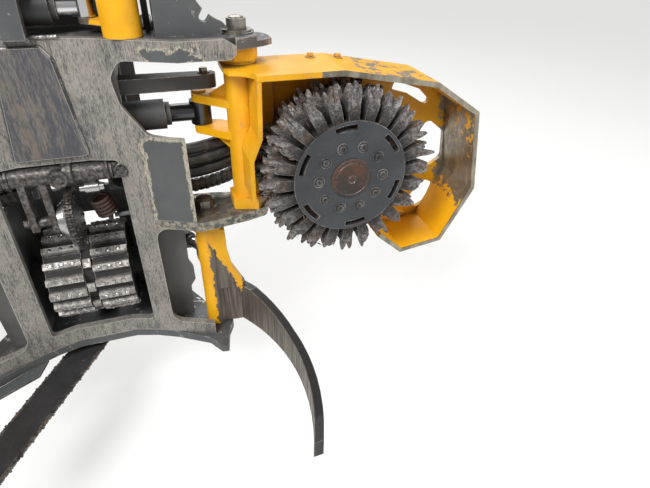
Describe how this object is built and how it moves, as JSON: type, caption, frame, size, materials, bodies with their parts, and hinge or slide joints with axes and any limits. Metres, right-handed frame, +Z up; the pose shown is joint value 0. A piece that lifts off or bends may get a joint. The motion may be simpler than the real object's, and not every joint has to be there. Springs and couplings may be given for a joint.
{
  "type": "harvester head",
  "caption": "Forestry harvester head with spiked feed rollers on swinging arms, delimbing knives, measuring wheel, saw bar and a tilting hanger for a rotator",
  "frame": {"origin": "centre of the rotator flange's upper face, on the tilt frame", "axes": "+Z up along the standing head, -Y towards the open side that takes the stem, +X towards the right feed arm"},
  "size_m": [2.408, 1.1523, 1.65],
  "materials": {
    "yellow_paint": "gloss paint, chipped and stained",
    "grey_paint": "satin grey paint rubbed to bare steel",
    "black_paint": "satin black paint",
    "worn_steel": "steel polished by bark, with brown stains",
    "cast_steel": "rough dark steel with rust and wood dust",
    "chrome_rod": "chromed rod",
    "hose_rubber": "matt black hose"
  },
  "bodies": {
    "tilt_frame": {"tilt_frame": "black_paint"},
    "head": {"front_skin": "grey_paint", "wear_plate": "worn_steel", "top_plate": "grey_paint", "lug_plates": "grey_paint", "bottom_plate": "grey_paint", "side_walls": "grey_paint", "back_frame": "grey_paint", "bay_plates": "grey_paint", "stop_bar": "black_paint", "gussets": "grey_paint", "upper_frame": "grey_paint", "top_knife": "worn_steel", "valve_cover": "black_paint", "saw_box": "grey_paint", "saw_motor": "cast_steel", "hinge_pins": "worn_steel", "measuring_pin": "cast_steel", "right_hoses": "hose_rubber", "left_hoses": "hose_rubber", "measuring_spring": "cast_steel"},
    "right_arm": {"right_arm": "yellow_paint", "right_guard": "yellow_paint", "right_feed_motor": "black_paint"},
    "left_arm": {"left_arm": "yellow_paint", "left_guard": "yellow_paint", "left_feed_motor": "black_paint"},
    "right_roller": {"right_feed_roller": "cast_steel"},
    "left_roller": {"left_feed_roller": "cast_steel"},
    "inner_roller": {"inner_roller": "cast_steel"},
    "measuring_arm": {"measuring_arm": "cast_steel"},
    "measuring_wheel": {"measuring_wheel": "worn_steel"},
    "right_lower_knife": {"right_lower_knife": "yellow_paint"},
    "left_lower_knife": {"left_lower_knife": "yellow_paint"},
    "right_upper_knife": {"right_upper_knife": "yellow_paint"},
    "left_upper_knife": {"left_upper_knife": "yellow_paint"},
    "arm_barrel": {"arm_barrel": "black_paint"},
    "arm_rod": {"arm_rod": "chrome_rod"},
    "upper_barrel": {"upper_barrel": "black_paint"},
    "upper_rod": {"upper_rod": "chrome_rod"},
    "right_knife_barrel": {"right_knife_barrel": "black_paint"},
    "right_knife_rod": {"right_knife_rod": "chrome_rod"},
    "left_knife_barrel": {"left_knife_barrel": "black_paint"},
    "left_knife_rod": {"left_knife_rod": "chrome_rod"},
    "tilt_barrel": {"tilt_barrel": "black_paint"},
    "tilt_rod": {"tilt_rod": "chrome_rod"},
    "saw_bar": {"saw_bar": "worn_steel"}
  },
  "joints": [
    {"name": "head_tilt", "type": "hinge", "parent": "tilt_frame", "child": "head", "pos_m": [0, 0, -0.68], "axis": [1, 0, 0], "range_deg": [0, 90]},
    {"name": "right_arm_swing", "type": "hinge", "parent": "head", "child": "right_arm", "pos_m": [0.5, -0.345, -0.9], "axis": [0, 0, 1], "range_deg": [-50, 0], "deforming": ["right_hoses"]},
    {"name": "left_arm_swing", "type": "hinge", "parent": "head", "child": "left_arm", "pos_m": [-0.5, -0.345, -0.9], "axis": [0, 0, 1], "range_deg": [0, 50], "deforming": ["left_hoses"]},
    {"name": "right_roller_spin", "type": "hinge", "parent": "right_arm", "child": "right_roller", "pos_m": [0.746, -0.43, -0.91], "axis": [0, 1, 0], "continuous": true},
    {"name": "left_roller_spin", "type": "hinge", "parent": "left_arm", "child": "left_roller", "pos_m": [-0.746, -0.43, -0.91], "axis": [0, 1, 0], "continuous": true},
    {"name": "inner_roller_spin", "type": "hinge", "parent": "head", "child": "inner_roller", "pos_m": [0, -0.22, -1.292], "axis": [1, 0, 0], "continuous": true},
    {"name": "measuring_arm_swing", "type": "hinge", "parent": "head", "child": "measuring_arm", "pos_m": [0, -0.318, -0.912], "axis": [1, 0, 0], "range_deg": [0, 14], "stiffness_Nm_per_rad": 40, "springref_deg": -20.05, "deforming": ["measuring_spring"]},
    {"name": "measuring_wheel_spin", "type": "hinge", "parent": "measuring_arm", "child": "measuring_wheel", "pos_m": [0, -0.318, -1.05], "axis": [1, 0, 0], "continuous": true},
    {"name": "right_lower_knife_swing", "type": "hinge", "parent": "head", "child": "right_lower_knife", "pos_m": [0.365, -0.35, -1.3], "axis": [0, 0, 1], "range_deg": [-60, 0]},
    {"name": "left_lower_knife_swing", "type": "hinge", "parent": "head", "child": "left_lower_knife", "pos_m": [-0.365, -0.35, -1.3], "axis": [0, 0, 1], "range_deg": [0, 60]},
    {"name": "right_upper_knife_swing", "type": "hinge", "parent": "head", "child": "right_upper_knife", "pos_m": [0.23, -0.34, -0.4], "axis": [0, 0, 1], "range_deg": [-58, 0]},
    {"name": "left_upper_knife_swing", "type": "hinge", "parent": "head", "child": "left_upper_knife", "pos_m": [-0.23, -0.34, -0.4], "axis": [0, 0, 1], "range_deg": [0, 58]},
    {"name": "arm_barrel_turn", "type": "hinge", "parent": "left_arm", "child": "arm_barrel", "pos_m": [-0.395, -0.257, -0.794], "axis": [0, 0, 1], "range_deg": [-50, 0]},
    {"name": "arm_rod_slide", "type": "slide", "parent": "arm_barrel", "child": "arm_rod", "axis": [1, 0, 0], "range_m": [-0.0001, 0.20204]},
    {"name": "upper_barrel_turn", "type": "hinge", "parent": "left_upper_knife", "child": "upper_barrel", "pos_m": [-0.155, -0.28, -0.512], "axis": [0, 0, 1], "range_deg": [-58, 0]},
    {"name": "upper_rod_slide", "type": "slide", "parent": "upper_barrel", "child": "upper_rod", "axis": [1, 0, 0], "range_m": [-0.0001, 0.16586]},
    {"name": "right_knife_barrel_turn", "type": "hinge", "parent": "head", "child": "right_knife_barrel", "pos_m": [0.228, -0.1, -1.25], "axis": [0, 0, 1], "range_deg": [-0.01, 13.68]},
    {"name": "right_knife_rod_slide", "type": "slide", "parent": "right_knife_barrel", "child": "right_knife_rod", "axis": [0.558, -0.8298, 0], "range_m": [-0.0001, 0.05876]},
    {"name": "left_knife_barrel_turn", "type": "hinge", "parent": "head", "child": "left_knife_barrel", "pos_m": [-0.228, -0.1, -1.25], "axis": [0, 0, 1], "range_deg": [-13.68, 0.01]},
    {"name": "left_knife_rod_slide", "type": "slide", "parent": "left_knife_barrel", "child": "left_knife_rod", "axis": [-0.558, -0.8298, 0], "range_m": [-0.0001, 0.05876]},
    {"name": "tilt_barrel_turn", "type": "hinge", "parent": "tilt_frame", "child": "tilt_barrel", "pos_m": [0, 0.127, -0.075], "axis": [1, 0, 0], "range_deg": [-0.01, 5.12]},
    {"name": "tilt_rod_slide", "type": "slide", "parent": "tilt_barrel", "child": "tilt_rod", "axis": [0, 0, -1], "range_m": [-0.25753, 0.0001]},
    {"name": "saw_bar_swing", "type": "hinge", "parent": "head", "child": "saw_bar", "pos_m": [0, -0.159, -1.562], "axis": [0, 0, 1], "range_deg": [-58, 84]}
  ],
  "couplings": [
    {"joint": "left_arm_swing", "follows": "right_arm_swing", "ratio": -1},
    {"joint": "arm_barrel_turn", "follows": "right_arm_swing", "ratio": 1},
    {"joint": "arm_rod_slide", "follows": "right_arm_swing", "m_per_rad": -0.22911},
    {"joint": "left_lower_knife_swing", "follows": "right_lower_knife_swing", "ratio": -1},
    {"joint": "right_knife_barrel_turn", "follows": "right_lower_knife_swing", "ratio": -0.22564},
    {"joint": "right_knife_rod_slide", "follows": "right_lower_knife_swing", "m_per_rad": -0.05546},
    {"joint": "left_knife_barrel_turn", "follows": "right_lower_knife_swing", "ratio": 0.22564},
    {"joint": "left_knife_rod_slide", "follows": "right_lower_knife_swing", "m_per_rad": -0.05546},
    {"joint": "left_upper_knife_swing", "follows": "right_upper_knife_swing", "ratio": -1},
    {"joint": "upper_barrel_turn", "follows": "right_upper_knife_swing", "ratio": 1},
    {"joint": "upper_rod_slide", "follows": "right_upper_knife_swing", "m_per_rad": -0.16213},
    {"joint": "tilt_barrel_turn", "follows": "head_tilt", "ratio": 0.05625},
    {"joint": "tilt_rod_slide", "follows": "head_tilt", "m_per_rad": -0.16226}
  ]
}
